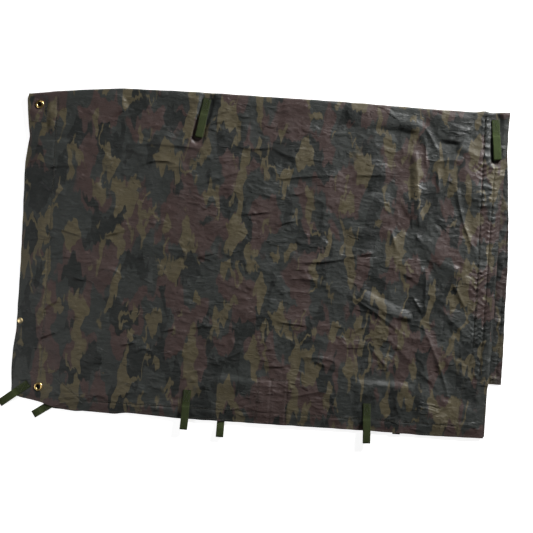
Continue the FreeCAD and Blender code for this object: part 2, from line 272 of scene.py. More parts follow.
# Slack edges of a folded cover: (place along the edge, where the edge is).
LEFT_OUTLINE = [(-390, -626), (-330, -631), (-280, -631), (-220, -625), (-20, -626), (170, -631), (220, -632),
                (290, -625), (330, -631), (390, -637), (405, -630)]
RIGHT_OUTLINE = [(-425, 626), (-320, 625), (-280, 630), (-150, 633), (10, 630), (150, 630), (250, 633),
                 (435, 637)]
BOTTOM_OUTLINE = [(-630, -386), (-610, -398), (-550, -409), (-515, -419), (-480, -424), (-350, -427),
                  (-320, -422), (-180, -427), (330, -425), (480, -427), (630, -424)]
RIDGE_OUTLINE = [(-630, 403), (-565, 413), (-485, 423), (-390, 433), (-200, 437), (200, 438), (420, 435),
                 (550, 435), (570, 440), (585, 436), (640, 441)]
LOWER_BOTTOM_OUTLINE = [(-626, -378), (-610, -389), (-560, -401), (-540, -414), (-515, -424), (-450, -427),
                        (-380, -421), (100, -421), (400, -422), (630, -421)]
FLAP_OUTLINE = [(-280, 664), (-200, 664), (-80, 661), (50, 660), (180, 652), (340, 638), (440, 637)]
LOWER_LEFT = max(x for _, x in LEFT_OUTLINE) + 4


def along_outline(outline, place):
    """The outline's value at a place, with the small ripple of a loose edge."""
    knots, values = zip(*outline)
    near = [np.interp(place + step, knots, values) for step in (-7, 0, 0, 7)]
    return sum(near) / 4 + 0.8 * noise(place / 34, place * 0 + values[0], 77)


def edge_distance(x, y):
    """How far a point of the upper leaf is from its nearest free edge."""
    from_left = x - along_outline(LEFT_OUTLINE, y)
    from_right = along_outline(RIGHT_OUTLINE, y) - x
    from_bottom = y - along_outline(BOTTOM_OUTLINE, x)
    return np.minimum(np.minimum(from_left, from_right), from_bottom)


# ---- The relief of the upper leaf ----

LEFT_SEAM = [(-557, 415), (-555, 120), (-555, -345)]
BAND_SEAM = [(571, 441), (575, 250), (580, 50), (582, -190), (560, -300), (552, -424)]
BAND_STITCH = [(606, 300), (606, -170), (604, -260)]
BOTTOM_SEAM = [(-430, -399), (100, -397), (552, -396)]
BRACE_SEAM = [(-512, -344), (-431, -405)]
CENTRE_PATCH = node_box("centre_patch")
PATCH_LINE = CENTRE_PATCH[0][0] * 0.55 + CENTRE_PATCH[1][0] * 0.45     # an upright seam inside the patch
TOP_PATCH = node_box("corner_patch_top")

# The main creases that the cover keeps from being packed: from x, y to x, y, and how far the middle bows
# to the left of that run.
# Cracks are narrow steps down and away from the light. Crests are thin ridges that catch it.
CRACKS = [
    (-590, 180, -520, 140, -8), (-360, 285, -160, 285, 6), (-330, 230, -230, 240, 14),
    (-180, 185, -50, 235, 4), (-410, 40, -350, 60, 0), (-565, 50, -460, 30, 6), (-160, 370, -100, 395, 0),
    (-415, 385, -375, 400, 0), (-80, 300, 20, 305, -6), (40, 220, 210, 240, 5), (240, 245, 315, 250, 0),
    (-60, 120, 30, 135, 0), (40, 95, 95, 115, 3), (240, 30, 310, 45, 0), (-565, -180, -515, -135, 5),
    (-560, -240, -515, -220, 0), (-495, -65, -450, -80, -5), (-620, -75, -550, -115, 8),
    (-350, -245, -305, -235, 0), (-235, -200, -205, -190, 0), (-160, 0, -110, 15, 2),
    (100, 5, 235, 25, -4), (60, -155, 145, -160, 0), (40, -275, 90, -270, 0), (165, -250, 200, -265, 0),
    (575, 210, 525, 265, 0), (-160, 350, -100, 370, 0), (20, 300, 85, 280, -4),
]
CRESTS = [
    (415, 385, 455, 325, 0), (455, 280, 465, 215, 0), (420, 340, 425, 285, 0), (505, 250, 580, 45, -10),
    (445, 290, 515, 300, 8), (345, 110, 360, 60, 0), (410, 100, 430, 80, 0), (235, -65, 395, -165, 4),
    (440, -130, 530, -330, 6), (315, -210, 365, -260, 0), (410, -55, 445, -110, 0), (445, 0, 450, -110, 0),
    (515, -15, 555, -85, 0), (130, -245, 230, -250, 6), (85, -40, 165, -40, 4), (105, -350, 210, -325, 0),
    (-70, -260, -5, -215, -6),
]
# Flat facets of the larger folds: ridge, valley, height and how far the cloth falls away behind the ridge.
PLATES = [
    ([(-580, 315), (-470, 350), (-375, 400)], [(-585, 290), (-475, 295), (-390, 365)], 17, 22),
    ([(-550, 285), (-545, 210)], [(-630, 275), (-625, 205)], 14, 24),
    ([(200, 415), (415, 385)], [(190, 375), (420, 368)], 12, 14),
    ([(395, 325), (405, 245), (420, 115)], [(380, 325), (385, 245), (395, 155)], 7, 9),
    ([(505, 430), (500, 345)], [(420, 425), (455, 325)], 9, 20),
    ([(505, 345), (570, 310)], [(495, 330), (575, 280)], 8, 8),
    ([(520, 295), (580, 210)], [(500, 280), (540, 170)], 8, 10),
    ([(265, -70), (350, -110), (425, -125)], [(275, -45), (360, -85), (445, -115)], 9, 9),
    ([(275, -300), (440, -305)], [(280, -290), (435, -290)], 5, 40),
    ([(630, 110), (625, -50), (625, -300)], [(607, 110), (605, -50), (601, -300)], 14, 6),
    ([(-155, -350), (-80, -315), (75, -325)], [(-155, -335), (-80, -300), (75, -312)], 5.5, 40),
]
# Soft rises: route, height, reach on its left and reach on its right.
RISES = [
    ([(-550, 310), (-540, 250), (-550, 180)], 3.5, 24, 34),
    ([(-170, -355), (-95, -330), (75, -325), (280, -300), (440, -310), (560, -330)], 4.5, 40, 70),
    ([(-365, 285), (-170, 290), (40, 300)], 2.0, 60, 20),
    ([(-345, 190), (-180, 200), (50, 220)], 2.0, 60, 20),
    ([(430, 90), (470, 40), (520, 10), (570, -20)], 3.0, 20, 12),
    ([(330, 20), (400, -10), (470, -60), (540, -90)], 2.6, 20, 12),
    ([(470, -70), (520, -120), (575, -165)], 3.0, 16, 12),
    ([(300, -160), (370, -190), (440, -250), (470, -300)], 2.6, 18, 12),
    ([(120, -185), (220, -205), (330, -190)], 2.2, 24, 14),
    ([(-560, -250), (-470, -300), (-400, -320)], 2.4, 30, 20),
]


def bowed(left, bottom, right, top, bow):
    """A route between two points whose middle stands off to its left."""
    start, end = np.array([left, bottom], float), np.array([right, top], float)
    run = end - start
    aside = np.array([-run[1], run[0]]) / np.linalg.norm(run)
    return [start + run * share + aside * bow * 4 * share * (1 - share) for share in (0, 0.25, 0.5, 0.75, 1)]


def pucker(x, y, route, pitch, height, reach, lean, right_share=1.0):
    """Gathers that stand off both sides of a seam, leaning back. right_share weakens the right side."""
    away, share, side = route_distance(x, y, route)
    length = sum(math.dist(a, b) for a, b in zip(route[:-1], route[1:]))
    along = share * length + lean * away
    uneven = along / pitch + 0.9 * noise(along / 60, away / 40, 31)
    gathers = (0.5 + 0.5 * np.cos(2 * math.pi * uneven)) ** 2
    strength = 0.35 + 0.65 * smooth(-0.35, 0.45, noise(along / 70, away * 0 + 3.3, 32))
    drawn_in = 1 - np.exp(-((away / 2.2) ** 2))
    height = height * np.where(side > 0, 1, right_share)
    stitched_down = 0.9 * np.exp(-((away / 2.0) ** 2))
    return height * strength * gathers * np.exp(-away / reach) * drawn_in - stitched_down


def small_folds(relief, count, seed, heights, lengths, gentle_reach):
    """Short cracks, mostly level on the left and any way on the crumpled right. Most drop from the ridge."""
    rng = np.random.default_rng(seed)
    for _ in range(count):
        middle = np.array([rng.uniform(-625, 610), rng.uniform(-415, 425)])
        crumpled = float(smooth(240, 420, middle[0]))
        length = rng.uniform(*lengths)
        angle = rng.normal(0.08, 0.28 + 0.7 * crumpled)
        along = np.array([math.cos(angle), math.sin(angle)]) * length
        aside = np.array([-along[1], along[0]])
        route = [middle + along * share + aside * rng.uniform(-0.11, 0.11)
                 for share in (-0.5, -0.25, 0, 0.25, 0.5)]
        height = rng.uniform(*heights)
        steep, gentle = rng.uniform(1.6, 2.6), rng.uniform(*gentle_reach)
        reaches = (gentle, steep) if rng.uniform() < 0.8 else (steep, gentle)
        relief.fold(route, height, *reaches)


def upper_relief():
    """All the creasing of the upper leaf, before it is held down by what is sewn to it."""
    relief = Relief(-668, 668, -460, 460, 1.6)
    x, y = relief.x, relief.y
    bend_x = x + 8 * noise(x / 90, y / 90, 21)
    bend_y = y + 8 * noise(x / 90, y / 90, 23)
    crumpled = smooth(230, 420, x + 60 * noise(x / 160, y / 160, 25))
    relief.z += 1.2 * noise(x / 230, y / 200, 27)
    relief.z += (1.2 + 0.6 * crumpled) * facets(bend_x, bend_y, 64, 1.1, 11)
    relief.z += (0.40 + 0.55 * crumpled) * facets(bend_x, bend_y, 27, 1.1, 12)
    level = (1 - 0.8 * crumpled) * smooth(-0.5, 0.3, noise(x / 120, y / 120, 28))
    waved = y + 9 * noise(x / 60, y / 40, 29)
    relief.z += 0.7 * level * wrinkles(x / 52, waved / 15, 41)
    relief.z += 0.42 * (1 - 0.5 * crumpled) * wrinkles(x / 22, waved / 10, 43)
    relief.z += 0.6 * crumpled * wrinkles(bend_x / 30, bend_y / 44, 44, sharp=4.0)
    relief.z -= 0.5 * crumpled * wrinkles(bend_x / 44, bend_y / 26, 45, sharp=4.0)
    for ridge, valley, height, back_reach in PLATES:
        relief.plate(ridge, valley, height, back_reach)
    for route, height, left_reach, right_reach in RISES:
        relief.fold(route, height, left_reach, right_reach)
    for creases, height, gentle, steep in ((CRACKS, 4.6, 13, 1.9), (CRESTS, 4.0, 5, 4)):
        for crease in creases:
            relief.fold(bowed(*crease), height, gentle, steep)
    small_folds(relief, 120, 71, heights=(1.4, 2.8), lengths=(20, 70), gentle_reach=(8, 20))
    small_folds(relief, 380, 72, heights=(0.5, 1.3), lengths=(8, 34), gentle_reach=(4, 11))
    return relief


def seams(x, y):
    """What the seams and the layers under them add."""
    upper_half = smooth(-330, -120, y)
    height = pucker(x, y, BAND_SEAM, 17, 4.6, 16, 0.45, right_share=0.5) * (0.35 + 0.65 * upper_half)
    height = height + pucker(x, y, BAND_STITCH, 14, 2.8, 10, 0.45)
    height = height + pucker(x, y, LEFT_SEAM, 13, 1.0, 7, 0.4)
    height = height + pucker(x, y, BOTTOM_SEAM, 12, 1.1, 8, 0.4)
    height = height + pucker(x, y, BRACE_SEAM, 10, 1.0, 6, 0.3)
    low, high = CENTRE_PATCH
    for side in (low[0] + 2, high[0] - 2, PATCH_LINE):
        height = height + pucker(x, y, [(side, low[1] + 4), (side, high[1] - 2)], 9, 2.0, 9, 0.2)
    return height


# Places where the leaf lies flat under hardware: centre, radius.
FLAT_SPOTS = [(TOP_EYELET, 13), (BOTTOM_EYELET, 13), (SNAP, 9)]
FLAT_LOOP = node_box("loop_lower_right")
FLAT_LOOP_X = (FLAT_LOOP[0][0] + FLAT_LOOP[1][0]) / 2
LOWER_TAPES = [[loop.plan(loop.start), loop.plan(0)] for loop in LOWER_LOOPS]
LOWER_TAPES.append([(FLAT_LOOP_X, FLAT_LOOP[0][1]), (FLAT_LOOP_X, FLAT_LOOP[1][1])])

# The two leaves part at a band that climbs towards the ridge, so that the sheet turns close to its hinge.
PART_LOW, PART_BAND, PART_CLIMB = 2.1, 1.3, 0.0037
TURN_DEPTH = 6.0                      # how far the turn at the ridge stands out past the two leaves
DROP = 1.9                            # how far loose cloth may dip below its own level
# Higher folds would go through the floor once the leaf is opened.
HIGHEST = 2 * JOINTS["upper_leaf"]["pos_m"][2] / MM - 0.2


def parting(y):
    """The lower side of the parting band."""
    return PART_LOW + PART_CLIMB * (y - UPPER_LOW[1])


def lowest(y):
    """The lowest that the upper leaf's outer face may lie."""
    return parting(y) + PART_BAND + 0.1 + CLOTH


def settle_upper(relief):
    """Hold the relief down at edges, ridge, hardware and loops, and lift it over the tapes below."""
    x, y = relief.x, relief.y
    from_edge = edge_distance(x, y)
    loose = (relief.z + 0.6) * (0.35 + 0.65 * smooth(5, 50, from_edge))
    level = lowest(y) + DROP
    room = np.where(loose > 0, HIGHEST - level, DROP)
    loose = room * np.tanh(loose / room) + seams(x, y)
    loose = loose - 1.6 * np.exp(-((np.maximum(from_edge, 0) / 15) ** 2))
    below_ridge = along_outline(RIDGE_OUTLINE, x) - y
    loose = loose * smooth(0, 26, below_ridge) + level - FACE
    loose = loose + 2.8 * np.exp(-((np.maximum(below_ridge - TURN_DEPTH, 0) / 30) ** 2))
    for spot, radius in FLAT_SPOTS:
        loose = loose * smooth(radius, radius + 16, np.hypot(x - spot[0], y - spot[1]))
    for loop in UPPER_LOOPS:
        loose = loose * smooth(11, 24, distance(x, y, [loop.plan(loop.start), loop.plan(0)]))
        pressed = 1 - smooth(11, 22, distance(x, y, [loop.plan(0), loop.plan(loop.tip)]))
        loose = np.where(loose > 0, loose * (1 - pressed), loose)
    for route in LOWER_TAPES:
        lifted = 1 - smooth(11, 24, distance(x, y, route))
        loose = np.maximum(loose, -0.9 * lifted - 4 * (1 - lifted))
    relief.z = np.clip(FACE + loose, lowest(y), HIGHEST)
    return relief


def lower_relief():
    """The lower leaf's inner face: shallow creases, flat under its loops and the press stud."""
    relief = Relief(-668, 680, -460, 460, 4.0)
    x, y = relief.x, relief.y
    bend_x = x + 14 * noise(x / 80, y / 80, 51)
    bend_y = y + 14 * noise(x / 80, y / 80, 52)
    relief.z += 0.5 * facets(bend_x, bend_y, 58, 1.1, 55) + 0.3 * facets(bend_x, bend_y, 27, 1.1, 56)
    relief.z += 0.55 * wrinkles(x / 60, (y + 8 * noise(x / 60, y / 40, 53)) / 16, 54)
    for route in LOWER_TAPES:
        relief.z *= smooth(11, 26, distance(x, y, route))
    relief.z *= smooth(9, 24, np.hypot(x - SNAP[0], y - SNAP[1]))
    relief.z = np.clip(LOWER_HIGH[2] + relief.z, 0.1 + CLOTH, PART_LOW - 0.05)
    return relief


# ---- Meshes ----


def smooth_route(points, step):
    """Points about a step apart on a smooth curve through some points, and how far along each one is."""
    points = np.asarray(points, float)
    padded = np.concatenate([[2 * points[0] - points[1]], points, [2 * points[-1] - points[-2]]])
    dense = []
    for a, b, c, d in zip(padded[:-3], padded[1:-2], padded[2:-1], padded[3:]):
        for t in np.linspace(0, 1, 24, endpoint=False):
            dense.append(0.5 * (2 * b + (c - a) * t + (2 * a - 5 * b + 4 * c - d) * t * t
                                + (3 * b - a - 3 * c + d) * t ** 3))
    dense = np.array(dense + [points[-1]])
    run = np.concatenate([[0], np.cumsum(np.linalg.norm(np.diff(dense, axis=0), axis=1))])
    even = np.linspace(0, run[-1], max(3, int(run[-1] / step)))
    return np.stack([np.interp(even, run, dense[:, 0]), np.interp(even, run, dense[:, 1])], axis=-1), even


SHARP_CREASE = math.radians(26)


def add_object(name, vertices, faces, uv=None, slots=None):
    """A smooth mesh object. vertices are in millimetres and uv, one for each, in metres.

    slots are one for each face, and only cloth has them: its sharp creases stay sharp.
    """
    mesh = bpy.data.meshes.new(name)
    corners = (np.asarray(vertices, float) * MM).tolist()
    mesh.from_pydata(corners, [], [list(map(int, face)) for face in faces])
    mesh.polygons.foreach_set("use_smooth", np.ones(len(mesh.polygons), bool))
    if slots is not None:
        mesh.polygons.foreach_set("material_index", np.asarray(slots, np.int32))
        mesh.set_sharp_from_angle(angle=SHARP_CREASE)
    if uv is not None:
        layer = mesh.uv_layers.new(name="flat")
        vertex = np.zeros(len(mesh.loops), np.int32)
        mesh.loops.foreach_get("vertex_index", vertex)
        layer.data.foreach_set("uv", np.asarray(uv, np.float32)[vertex].ravel())
    mesh.update()
    piece = bpy.data.objects.new(name, mesh)
    bpy.context.scene.collection.objects.link(piece)
    return piece


def cloth_piece(name, outer, inner, uv, keep=None):
    """A closed sheet between two grids of points, with its rims. keep says which grid faces stay."""
    rows, columns = outer.shape[:2]
    count = rows * columns
    index = np.arange(count).reshape(rows, columns)
    quads = np.stack([index[:-1, :-1], index[:-1, 1:], index[1:, 1:], index[1:, :-1]], axis=-1)
    keep = np.ones((rows - 1, columns - 1), bool) if keep is None else keep
    quads = quads[keep]
    edges = np.concatenate([quads[:, [k, (k + 1) % 4]] for k in range(4)])
    _, where, uses = np.unique(np.sort(edges, axis=1), axis=0, return_inverse=True, return_counts=True)
    rim = edges[uses[where.ravel()] == 1]
    rims = np.stack([rim[:, 1], rim[:, 0], rim[:, 0] + count, rim[:, 1] + count], axis=-1)
    faces = np.concatenate([quads, quads[:, ::-1] + count, rims])
    slots = np.concatenate([np.zeros(len(quads)), np.ones(len(quads)), np.zeros(len(rims))])
    vertices = np.concatenate([outer.reshape(-1, 3), inner.reshape(-1, 3)])
    both_uv = np.concatenate([uv.reshape(-1, 2)] * 2)
    used = np.unique(faces)
    renumber = np.zeros(2 * count, int)
    renumber[used] = np.arange(len(used))
    return add_object(name, vertices[used], renumber[faces], both_uv[used] * MM, slots)


HOLE = 7.0


def open_hole(x, y, spot):
    """Push grid points out of an eyelet's hole, so that the barrel stands clear."""
    reach = 2 * HOLE
    away = np.maximum(np.hypot(x - spot[0], y - spot[1]), 1e-6)
    pushed = np.where(away < reach, HOLE + away * (reach - HOLE) / reach, away)
    return spot[0] + (x - spot[0]) * pushed / away, spot[1] + (y - spot[1]) * pushed / away


def outside_hole(x, y, spot):
    """Which grid faces lie outside an eyelet's hole."""
    middle_x = (x[:-1, :-1] + x[1:, 1:] + x[:-1, 1:] + x[1:, :-1]) / 4
    middle_y = (y[:-1, :-1] + y[1:, 1:] + y[:-1, 1:] + y[1:, :-1]) / 4
    return np.hypot(middle_x - spot[0], middle_y - spot[1]) > HOLE - 0.2


def grid(left, right, bottom, top, step):
    """Grid points between four edges: left and right by height, bottom and top by place across."""
    guess = np.zeros(1)
    width = float(np.max(right(guess)) - np.min(left(guess)))
    depth = float(np.max(top(guess)) - np.min(bottom(guess)))
    across = np.linspace(0, 1, max(2, int(width / step)))[None, :]
    up = np.linspace(0, 1, max(2, int(depth / step)))[:, None]
    x = left(guess) + (right(guess) - left(guess)) * across + 0 * up
    y = 0 * x
    for _ in range(4):
        y = bottom(x) + (top(x) - bottom(x)) * up
        x = left(y) + (right(y) - left(y)) * across
    return x, y


def edge(outline, inset=0.0):
    """An outline as a grid's edge, moved by an inset."""
    return lambda place: along_outline(outline, place) + inset


def constant(value):
    """The same value at every place: a straight edge or a level face."""
    return lambda place, *_: value + 0 * place


TURN_ROWS = 14
# Distances between the points of the upper leaf, the lower leaf and the strips.
COVER_STEP, LOWER_STEP, STRIP_STEP = 2.7, 7.0, 3.0


def make_cover():
    """The whole cover in one sheet: the upper leaf, the turn at the ridge and the lower leaf."""
    x, y = grid(edge(LEFT_OUTLINE), edge(RIGHT_OUTLINE), edge(BOTTOM_OUTLINE),
                edge(RIDGE_OUTLINE, -TURN_DEPTH), COVER_STEP)
    for spot in (TOP_EYELET, BOTTOM_EYELET):
        x, y = open_hole(x, y, spot)
    keep = outside_hole(x, y, TOP_EYELET) & outside_hole(x, y, BOTTOM_EYELET)
    z = UPPER(x, y)
    upper_outer = np.stack([x, y, z], axis=-1)
    upper_inner = np.stack([x, y, z - CLOTH], axis=-1)

    fold_x, fold_y, fold_z = x[-1], y[-1], z[-1]
    across = np.linspace(0, 1, len(fold_x))
    straight = LOWER_LEFT + (LOWER_HIGH[0] - LOWER_LEFT) * across
    bottom = along_outline(LOWER_BOTTOM_OUTLINE, straight)
    down = np.linspace(0, 1, int((RIDGE_LOW[1] - LOWER_LOW[1]) / LOWER_STEP))[1:, None]
    lower_x = fold_x + (straight - fold_x) * smooth(0, 0.15, down)
    lower_y = fold_y + (bottom - fold_y) * down
    lower_z = LOWER(lower_x, lower_y)
    near_fold = 1 - smooth(0, 0.06, down)
    lower_z = lower_z * (1 - near_fold) + (0.1 + CLOTH) * near_fold
    lower_outer = np.stack([lower_x, lower_y, lower_z - CLOTH], axis=-1)
    lower_inner = np.stack([lower_x, lower_y, lower_z], axis=-1)

    turn = np.linspace(0, math.pi, TURN_ROWS + 1)[1:, None]
    middle, half = (fold_z + 0.1) / 2, (fold_z - 0.1) / 2

    def turned(inset):
        """The rows round the ridge, inset into the fold. None lies within the parting band."""
        turn_y = fold_y + (TURN_DEPTH - inset) * np.sin(turn)
        turn_z = middle + (half - inset) * np.cos(turn)
        into_band = (turn_z - parting(turn_y)) / PART_BAND
        inside = (into_band > 0) & (into_band < 1)
        turn_z = np.where(inside, parting(turn_y) + PART_BAND * np.round(into_band), turn_z)
        return np.stack([fold_x + 0 * turn_y, turn_y, turn_z], axis=-1)

    outer = np.concatenate([upper_outer, turned(0), lower_outer])
    inner = np.concatenate([upper_inner, turned(CLOTH), lower_inner])
    rows = len(x)
    run = np.cumsum(np.linalg.norm(np.diff(outer[rows - 1:], axis=0), axis=-1), axis=0)
    uv = np.concatenate([np.stack([x, y], axis=-1), np.stack([fold_x + 0 * run, fold_y + run], axis=-1)])
    keep = np.concatenate([keep, np.ones((len(run), len(fold_x) - 1), bool)])
    piece = cloth_piece("cover_cloth", outer, inner, uv, keep)
    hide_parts("upper_panel", "ridge_fold", "lower_panel")
    dress(piece, PRINT, COATING)
    start = np.array([0, RIDGE_HIGH[1], parting(RIDGE_HIGH[1])])
    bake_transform(piece)


HEM_GAP = 0.1
HEM_THICK = 0.5


def under_upper(x, y):
    """The upper side of a layer sewn inside the upper leaf."""
    return UPPER(x, y) - CLOTH - HEM_GAP


def over_upper(x, y):
    """The upper side of a layer sewn on the upper leaf's outer face."""
    return UPPER(x, y) + 2 * HEM_GAP + HEM_THICK


def over_lower(x, y):
    """The upper side of a layer sewn inside the lower leaf."""
    return LOWER(x, y) + HEM_GAP + HEM_THICK


def flap_height(x, y):
    """The side flap lies on the lower leaf and comes down past its edge, with gathers along its seam."""
    past = smooth(LOWER_HIGH[0] - 4, LOWER_HIGH[0] + 10, x)
    loose = 1.6 + 1.2 * noise(x / 22, y / 17, 62) + 1.1 * wrinkles(x / 30, y / 18, 61)
    loose = loose + pucker(x, y, [(648, 430), (652, 0), (650, -262)], 13, 1.8, 8, 0.7)
    return (1 - past) * over_lower(x, y) + past * (HEM_THICK + 0.3 + np.clip(loose, 0, 3.6))


def make_strip(node, face_of, materials, left=None, right=None, bottom=None, top=None, hole=None):
    """A hem, patch or flap in place of its CAD node. An edge that isn't given is its box's side."""
    low, high = node_box(node)
    x, y = grid(left or constant(low[0]), right or constant(high[0]), bottom or constant(low[1]),
                top or constant(high[1]), STRIP_STEP)
    keep = None
    if hole is not None:
        x, y = open_hole(x, y, hole)
        keep = outside_hole(x, y, hole)
    z = face_of(x, y)
    outer = np.stack([x, y, z], axis=-1)
    inner = np.stack([x, y, z - HEM_THICK], axis=-1)
    own_print = [low[0] * 0.37 + 500, 250]
    piece = cloth_piece(f"{node}_cloth", outer, inner, np.stack([x, y], axis=-1) + own_print, keep)
    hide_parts(node)
    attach(piece, BODY_OF[node])
    dress(piece, *materials)


def brace_edge(place):
    """The bevel of the bottom corner's patch."""
    (upper_x, upper_y), (lower_x, lower_y) = BRACE_SEAM
    return np.interp(place, [lower_y, upper_y], [lower_x, upper_x])


def make_strips():
    """Every hem, patch and flap."""
    face_down, face_up = (COATING, PRINT), (PRINT, COATING)
    left, right, bottom = edge(LEFT_OUTLINE, 1.5), edge(RIGHT_OUTLINE, -1.5), edge(BOTTOM_OUTLINE, 1.5)
    ridge = edge(RIDGE_OUTLINE, -TURN_DEPTH - 3)
    make_strip("upper_left_hem", under_upper, face_down, left=left, top=ridge, hole=TOP_EYELET)
    make_strip("upper_right_hem", under_upper, face_down, right=right, bottom=bottom, top=ridge)
    make_strip("upper_bottom_hem", under_upper, face_down, bottom=bottom)
    make_strip("corner_patch_bottom", under_upper, face_down, left=left, right=brace_edge, bottom=bottom,
               hole=BOTTOM_EYELET)
    make_strip("corner_patch_top", over_upper, face_up, left=edge(LEFT_OUTLINE, 0.5), top=ridge,
               hole=TOP_EYELET)
    make_strip("centre_patch", over_upper, (PATCH, COATING), bottom=bottom)
    make_strip("lower_left_hem", over_lower, face_up, left=constant(LOWER_LEFT + 1),
               bottom=constant(node_box("lower_left_hem")[0][1] + 30), top=edge(RIDGE_OUTLINE, -16))
    make_strip("lower_bottom_hem", over_lower, face_up, bottom=edge(LOWER_BOTTOM_OUTLINE, 1.5))
    # The flap's darker print is painted shade.
    make_strip("side_flap", flap_height, (SHADED_FLAP_PRINT, COATING), right=edge(FLAP_OUTLINE), top=constant(438.0))


# ---- Webbing ----


def tape_section():
    """Outline of the tape's cross-section: flat faces and rounded selvedges."""
    half, rise = TAPE_WIDTH / 2, TAPE_PLY / 2
    top = [(s, rise) for s in np.linspace(-half + 0.8, half - 0.8, 11)]
    bottom = [(s, -rise) for s in np.linspace(half - 0.8, -half + 0.8, 11)]
    right = [(half - 0.1, rise * 0.6), (half, 0), (half - 0.1, -rise * 0.6)]
    left = [(-half + 0.1, -rise * 0.6), (-half, 0), (-half + 0.1, rise * 0.6)]
    return np.array(top + right + bottom + left)


def tape_mesh(name, path, run, place):
    """Sweep the tape along a path of (along, height). place turns (along, across, height) to the frame."""
    section = tape_section()
    tangent = np.gradient(path, axis=0)
    tangent /= np.linalg.norm(tangent, axis=1)[:, None]
    normal = np.stack([-tangent[:, 1], tangent[:, 0]], axis=-1)
    vertices, uv = [], []
    for (along, height), (normal_x, normal_z), passed in zip(path, normal, run):
        rib = 1 + 0.06 * math.sin(2 * math.pi * passed / 2.4)
        for across, thick in section:
            vertices.append(place(along + normal_x * thick * rib, across, height + normal_z * thick * rib))
            uv.append((passed * MM, (across + 2 * thick) * MM))
    size = len(section)
    faces = [
        [base + k, base + (k + 1) % size, base + size + (k + 1) % size, base + size + k]
        for base in range(0, (len(path) - 1) * size, size)
        for k in range(size)
    ]
    faces.append(list(range(size)))
    faces.append([(len(path) - 1) * size + k for k in reversed(range(size))])
    return add_object(name, vertices, faces, uv)


def make_loop(loop, slack):
    """A whole webbing loop: both sewn plies and the open eye."""
    lift = loop.axis[2] - loop.face
    low_ply, top_ply = TAPE_PLY / 2 - lift, TAPE_PLY * 1.5 - lift + 0.02
    tip = loop.tip
    bend = tip - 3.7
    roof = 5.6
    points = [(loop.start + 0.3, low_ply), (-16, low_ply), (-SEWN_GAP, low_ply), (4, -0.55)]
    points += [(tip * 0.45, -0.55 + 0.25 * slack), (bend - 2, -0.6), (bend, -0.6)]
    points += [(bend + 2.1, 0.25), (bend + 3.1, 2.5), (bend + 2.1, 4.75), (bend, roof)]
    points += [(bend - 3, roof + 0.05)]
    points += [(tip * 0.62, roof - 0.5 * slack), (tip * 0.38, roof - 1.1 - 0.5 * slack), (9, 2.9), (3.5, 1.2)]
    points += [(-1.5, top_ply + 0.15), (-SEWN_GAP, top_ply), (-16, top_ply), (loop.start + 0.3, top_ply)]
    path, run = smooth_route(points, 1.3)

    def place(along, across, height):
        drift = 0.9 * slack * math.sin(max(along, 0) / 26)
        plan = loop.plan(along, across + drift)
        return [plan[0], plan[1], loop.axis[2] + height]

    piece = tape_mesh(f"webbing_loop_{loop.name}", path, run, place)
    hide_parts(*loop.nodes)
    # The top right loop gets the lighter webbing, as painted light.
    dress(piece, PAINTED_LIGHT_WEBBING if loop.name == "top_right" else WEBBING)
    start, end = loop.plan(-SEWN_GAP), loop.plan(4.0)
    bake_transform(piece)
    return piece


def make_flat_loop():
    """The loop that lies closed between the leaves."""
    low, high = FLAT_LOOP
    length = high[1] - low[1]
    points = [(length, 0.6), (length * 0.5, 0.6), (5, 0.6), (1.2, 0.72), (0.65, 1.2), (1.2, 1.68), (5, 1.8),
              (length * 0.5, 1.8), (length, 1.8)]
    path, run = smooth_route(points, 1.3)
    piece = tape_mesh("webbing_loop_lower_right", path, run,
                      lambda along, across, height: [FLAT_LOOP_X - across, low[1] + along, low[2] + height])
    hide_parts("loop_lower_right")
    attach(piece, "lower_leaf")
    dress(piece, WEBBING)


# ---- Stitching ----


def resample(route, pitch):
    """Centres and directions every pitch along a route in plan."""
    route = np.asarray(route, float)
    run = np.concatenate([[0], np.cumsum(np.linalg.norm(np.diff(route, axis=0), axis=1))])
    even = np.arange(pitch / 2, run[-1], pitch)
    centre = np.stack([np.interp(even, run, route[:, k]) for k in (0, 1)], axis=-1)
    ahead = np.stack([np.interp(even + 0.2, run, route[:, k]) for k in (0, 1)], axis=-1)
    behind = np.stack([np.interp(even - 0.2, run, route[:, k]) for k in (0, 1)], axis=-1)
    direction = ahead - behind
    direction /= np.maximum(np.linalg.norm(direction, axis=1), 1e-9)[:, None]
    return centre, direction


def stitch_mesh(name, lines, body, thread):
    """Lock stitches along several lines. A line is (route, height function, pitch, thickness)."""
    sides = 6
    rings = [(-0.5, 0.15), (-0.42, 0.75), (-0.2, 1.0), (0.2, 1.0), (0.42, 0.75), (0.5, 0.15)]
    vertices, faces = [], []
    for route, face_of, pitch, thick in lines:
        centre, direction = resample(route, pitch)
        long = pitch * 0.78
        rise = face_of(centre[:, 0], centre[:, 1])
        ahead = face_of(centre[:, 0] + direction[:, 0] * long / 2, centre[:, 1] + direction[:, 1] * long / 2)
        slope = (ahead - rise) / (long / 2)
        for (cx, cy), (dx, dy), z, climb in zip(centre, direction, rise, slope):
            base = len(vertices)
            for share, width in rings:
                for k in range(sides):
                    angle = 2 * math.pi * k / sides
                    aside = math.cos(angle) * width * thick / 2
                    over = math.sin(angle) * width * thick / 2
                    along = share * long
                    sink = -thick * 0.55 * (2 * share) ** 4
                    vertices.append((cx + dx * along - dy * aside, cy + dy * along + dx * aside,
                                     z + climb * along + over + thick * 0.25 + sink))
            for ring in range(len(rings) - 1):
                for k in range(sides):
                    a, b = base + ring * sides + k, base + ring * sides + (k + 1) % sides
                    faces.append([a, b, b + sides, a + sides])
            faces.append([base + k for k in reversed(range(sides))])
            last = base + (len(rings) - 1) * sides
            faces.append([last + k for k in range(sides)])
    piece = add_object(name, vertices, faces)
    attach(piece, body)
    dress(piece, thread)
    return piece


